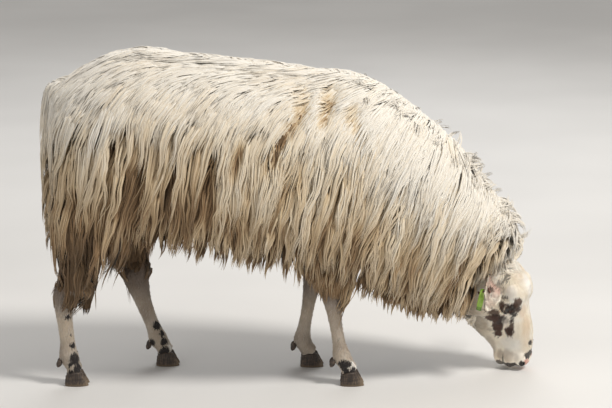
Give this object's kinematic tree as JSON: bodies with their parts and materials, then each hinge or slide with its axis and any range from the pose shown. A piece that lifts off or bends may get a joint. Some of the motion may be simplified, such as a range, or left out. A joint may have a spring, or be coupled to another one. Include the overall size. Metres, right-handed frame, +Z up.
{
  "type": "sheep, grazing",
  "caption": "Long-woolled, hornless sheep standing with its head down to graze; heavy shaggy fleece, bare face and lower legs, woolly tail, cloven hooves and an ear tag.",
  "frame": {"origin": "middle of the sheep's overall box, at floor level", "axes": "+X the way the sheep faces, +Y its left side, +Z up"},
  "size_m": [1.1156, 0.4224, 0.7466],
  "materials": {
    "wool": "long wavy wool in pointed locks, near white along the back, cream on the sides, brown-beige low down",
    "hair": "short matt hair, cream white with dark brown patches",
    "horn": "dull worn horn",
    "eye": "wet, glossy",
    "tag": "satin lime green, blank"
  },
  "bodies": {
    "root": {"trunk": "wool", "neck": "wool", "tail": "wool", "groin_wool": "wool", "head": "hair", "ear_tag_plate": "tag", "ear_tag_back": "tag", "ear_tag_pin": "tag", "ear_right": "hair", "ear_left": "hair", "eye_right": "eye", "eye_left": "eye", "leg_hind_right": "hair", "leg_hind_left": "hair", "leg_fore_right": "hair", "leg_fore_left": "hair", "hoof_hind_right_outer": "horn", "dewclaw_hind_right_outer": "horn", "hoof_hind_right_inner": "horn", "dewclaw_hind_right_inner": "horn", "hoof_hind_left_outer": "horn", "dewclaw_hind_left_outer": "horn", "hoof_hind_left_inner": "horn", "dewclaw_hind_left_inner": "horn", "hoof_fore_right_outer": "horn", "dewclaw_fore_right_outer": "horn", "hoof_fore_right_inner": "horn", "dewclaw_fore_right_inner": "horn", "hoof_fore_left_outer": "horn", "dewclaw_fore_left_outer": "horn", "hoof_fore_left_inner": "horn", "dewclaw_fore_left_inner": "horn"}
  },
  "joints": []
}
